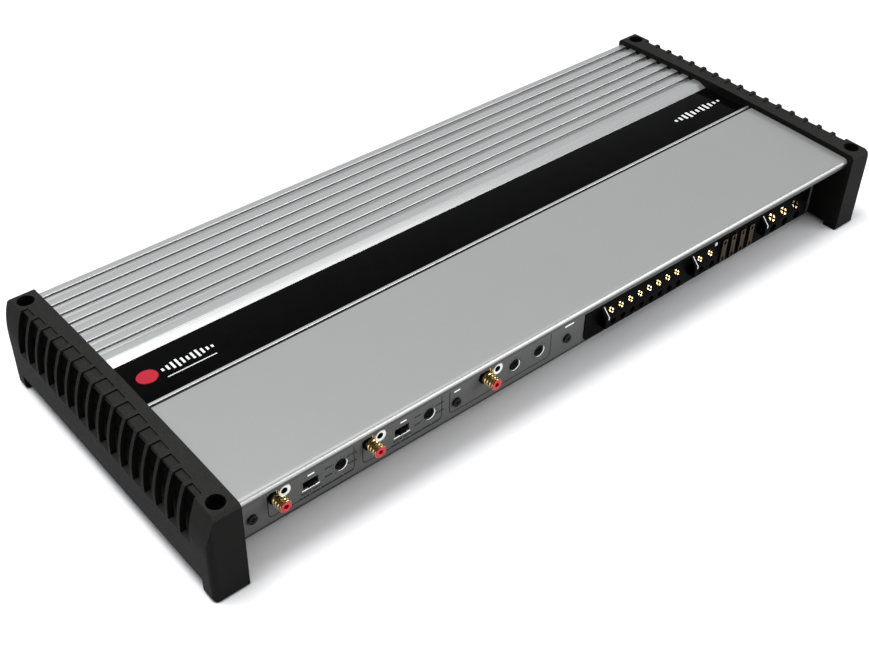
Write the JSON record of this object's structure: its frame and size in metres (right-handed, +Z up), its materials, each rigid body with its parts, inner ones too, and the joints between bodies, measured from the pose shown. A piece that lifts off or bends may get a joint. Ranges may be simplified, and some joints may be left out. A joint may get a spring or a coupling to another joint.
{
  "type": "car amplifier",
  "caption": "Flat finned car audio amplifier with vented dark end caps, a gloss strip across a silver top, and phono jacks, knobs, screw terminals and blade fuses under its front overhang.",
  "frame": {"origin": "bottom centre of the bounding box, on the plane that the feet stand on", "axes": "+X along the length towards the power terminals, -Y towards the connector side, +Z up"},
  "size_m": [0.575, 0.233, 0.0676],
  "materials": {
    "cap_charcoal": "charcoal powder coat with a fine sand texture",
    "fin_aluminium": "satin extruded aluminium, drawn along its length",
    "cover_silver": "matte silver paint",
    "gloss_black": "deep gloss black",
    "badge_red": "domed gloss",
    "panel_grey": "matte grey paint with fine printed lines",
    "base_black": "matte black paint",
    "screw_steel": "zinc plated",
    "screw_black": "black oxide",
    "terminal_black": "moulded black",
    "gold_plate": "gold plated, polished",
    "insert_red": "moulded",
    "insert_white": "moulded",
    "knob_black": "moulded",
    "pot_blue": "moulded",
    "fuse_amber": "clear tinted moulding",
    "blade_zinc": "plated zinc alloy",
    "led_clear": "clear lens",
    "board_green": "solder mask over glass laminate",
    "winding_copper": "enamelled copper wire",
    "clamp_plastic": "moulded",
    "capacitor_sleeve": "shrink sleeve",
    "transistor_epoxy": "moulded epoxy",
    "insulator_grey": "silicone pad",
    "bar_aluminium": "mill finish"
  },
  "bodies": {
    "chassis": {"left_end_cap": "cap_charcoal", "right_end_cap": "cap_charcoal", "end_cap_screws": "screw_steel", "heatsink": "fin_aluminium", "trim_strip": "gloss_black", "trim_badge": "badge_red", "top_cover": "cover_silver", "connector_panel": "panel_grey", "bottom_plate": "base_black", "bottom_screws": "screw_steel", "panel_screws": "screw_black", "panel_brackets": "bar_aluminium", "terminal_plate": "terminal_black", "rca_housings": "terminal_black", "rca_shells": "gold_plate", "rca_red_inserts": "insert_red", "rca_white_inserts": "insert_white", "switch_bodies": "terminal_black", "pot_bodies": "pot_blue", "speaker_terminal_block": "terminal_black", "sub_terminal_block": "terminal_black", "power_terminal_block": "terminal_black", "speaker_terminal_cages": "gold_plate", "sub_terminal_cages": "gold_plate", "power_terminal_cages": "gold_plate", "speaker_terminal_screws": "gold_plate", "sub_terminal_screws": "gold_plate", "power_terminal_screws": "gold_plate", "fuse_holder": "terminal_black", "fuse_clips": "gold_plate", "led_lens": "led_clear", "main_board": "board_green", "board_standoffs": "gold_plate", "board_screws": "screw_steel", "toroid_windings": "winding_copper", "toroid_clamps": "clamp_plastic", "bulk_capacitors": "capacitor_sleeve", "filter_coils": "winding_copper", "power_transistors": "transistor_epoxy", "insulator_strip": "insulator_grey", "clamp_bar": "bar_aluminium", "clamp_screws": "screw_steel"},
    "crossover_knob_1": {"crossover_knob_1": "knob_black"},
    "crossover_knob_2": {"crossover_knob_2": "knob_black"},
    "bass_knob_1": {"bass_knob_1": "knob_black"},
    "bass_knob_2": {"bass_knob_2": "knob_black"},
    "level_knob_1": {"level_knob_1": "knob_black"},
    "level_knob_2": {"level_knob_2": "knob_black"},
    "level_knob_3": {"level_knob_3": "knob_black"},
    "switch_slider_1": {"switch_slider_1": "knob_black"},
    "switch_slider_2": {"switch_slider_2": "knob_black"},
    "fuse_1": {"fuse_body_1": "fuse_amber", "fuse_blades_1": "blade_zinc"},
    "fuse_2": {"fuse_body_2": "fuse_amber", "fuse_blades_2": "blade_zinc"},
    "fuse_3": {"fuse_body_3": "fuse_amber", "fuse_blades_3": "blade_zinc"},
    "fuse_4": {"fuse_body_4": "fuse_amber", "fuse_blades_4": "blade_zinc"}
  },
  "joints": [
    {"name": "crossover_knob_1_turn", "type": "hinge", "parent": "chassis", "child": "crossover_knob_1", "pos_m": [-0.1819, -0.0888, 0.0192], "axis": [0, -1, 0], "range_deg": [-140, 140]},
    {"name": "crossover_knob_2_turn", "type": "hinge", "parent": "chassis", "child": "crossover_knob_2", "pos_m": [-0.1145, -0.0888, 0.0192], "axis": [0, -1, 0], "range_deg": [-140, 140]},
    {"name": "bass_knob_1_turn", "type": "hinge", "parent": "chassis", "child": "bass_knob_1", "pos_m": [-0.0435, -0.0888, 0.0192], "axis": [0, -1, 0], "range_deg": [-140, 140]},
    {"name": "bass_knob_2_turn", "type": "hinge", "parent": "chassis", "child": "bass_knob_2", "pos_m": [-0.0218, -0.0888, 0.0192], "axis": [0, -1, 0], "range_deg": [-140, 140]},
    {"name": "level_knob_1_turn", "type": "hinge", "parent": "chassis", "child": "level_knob_1", "pos_m": [-0.1927, -0.0888, 0.041], "axis": [0, -1, 0], "range_deg": [-140, 140]},
    {"name": "level_knob_2_turn", "type": "hinge", "parent": "chassis", "child": "level_knob_2", "pos_m": [-0.1251, -0.0888, 0.041], "axis": [0, -1, 0], "range_deg": [-140, 140]},
    {"name": "level_knob_3_turn", "type": "hinge", "parent": "chassis", "child": "level_knob_3", "pos_m": [-0.0326, -0.0888, 0.041], "axis": [0, -1, 0], "range_deg": [-140, 140]},
    {"name": "switch_slider_1_travel", "type": "slide", "parent": "chassis", "child": "switch_slider_1", "axis": [1, 0, 0], "range_m": [-0.002, 0.002]},
    {"name": "switch_slider_2_travel", "type": "slide", "parent": "chassis", "child": "switch_slider_2", "axis": [1, 0, 0], "range_m": [-0.002, 0.002]},
    {"name": "fuse_1_pull", "type": "slide", "parent": "chassis", "child": "fuse_1", "axis": [0, -1, 0], "range_m": [0, 0.04]},
    {"name": "fuse_2_pull", "type": "slide", "parent": "chassis", "child": "fuse_2", "axis": [0, -1, 0], "range_m": [0, 0.04]},
    {"name": "fuse_3_pull", "type": "slide", "parent": "chassis", "child": "fuse_3", "axis": [0, -1, 0], "range_m": [0, 0.04]},
    {"name": "fuse_4_pull", "type": "slide", "parent": "chassis", "child": "fuse_4", "axis": [0, -1, 0], "range_m": [0, 0.04]}
  ]
}
